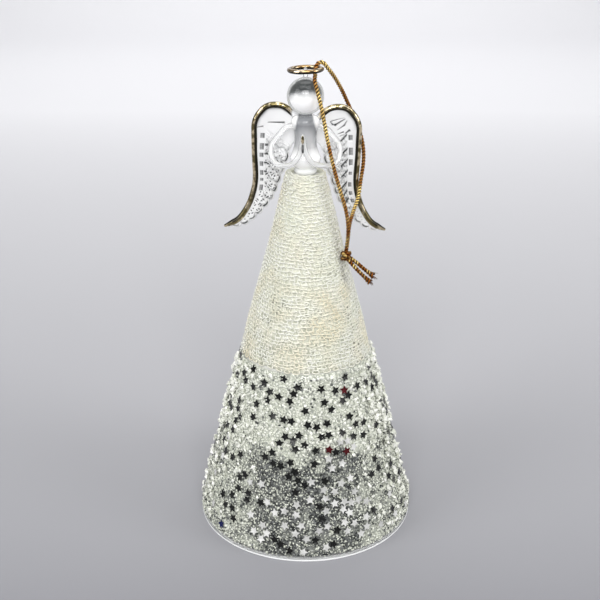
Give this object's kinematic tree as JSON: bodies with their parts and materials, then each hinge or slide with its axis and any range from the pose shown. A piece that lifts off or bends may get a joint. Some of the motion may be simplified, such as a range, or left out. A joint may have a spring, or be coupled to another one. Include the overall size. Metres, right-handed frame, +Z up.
{
  "type": "angel figurine",
  "caption": "Clear glass angel with a hollow conical skirt in lace and glitter, gold-rimmed wings, a gold halo and a cord loop that swings on the halo.",
  "frame": {"origin": "centre of the skirt's rim, on the surface that it stands on", "axes": "+Z up through the head, the angel faces -Y, and +X is to the right of someone who looks at its front"},
  "size_m": [0.075, 0.075, 0.1574],
  "materials": {
    "clear_glass": "clear lamp-worked glass, fire polished",
    "gold_lustre": "bright gold lustre fired on glass",
    "spun_lace": "milky spun-glass lace in looped rows",
    "glitter": "coarse crushed-glass glitter in clear glue",
    "foil_dark": "mirror-like foil seen at its dark angle",
    "foil_silver": "silver foil",
    "foil_red": "red foil",
    "foil_blue": "blue foil",
    "gold_cord": "twisted metallic gold thread"
  },
  "bodies": {
    "angel": {"skirt_shell": "clear_glass", "glitter_coat": "glitter", "lace_sleeve": "spun_lace", "stars_dark": "foil_dark", "stars_silver": "foil_silver", "stars_red": "foil_red", "stars_blue": "foil_blue", "collar_bead": "clear_glass", "torso": "clear_glass", "head": "clear_glass", "arm_left": "clear_glass", "arm_right": "clear_glass", "wing_leaf_left": "clear_glass", "wing_leaf_right": "clear_glass", "wing_rim_left": "gold_lustre", "wing_rim_right": "gold_lustre", "halo_stem": "clear_glass", "halo_ring": "gold_lustre"},
    "hanging_loop": {"hanging_cord": "gold_cord", "cord_knot": "gold_cord", "cord_tail_upper": "gold_cord", "cord_tail_lower": "gold_cord"}
  },
  "joints": [
    {"name": "loop_swing", "type": "hinge", "parent": "angel", "child": "hanging_loop", "pos_m": [0.00505, 0, 0.1546], "axis": [0, -1, 0], "range_deg": [0, 160]}
  ]
}
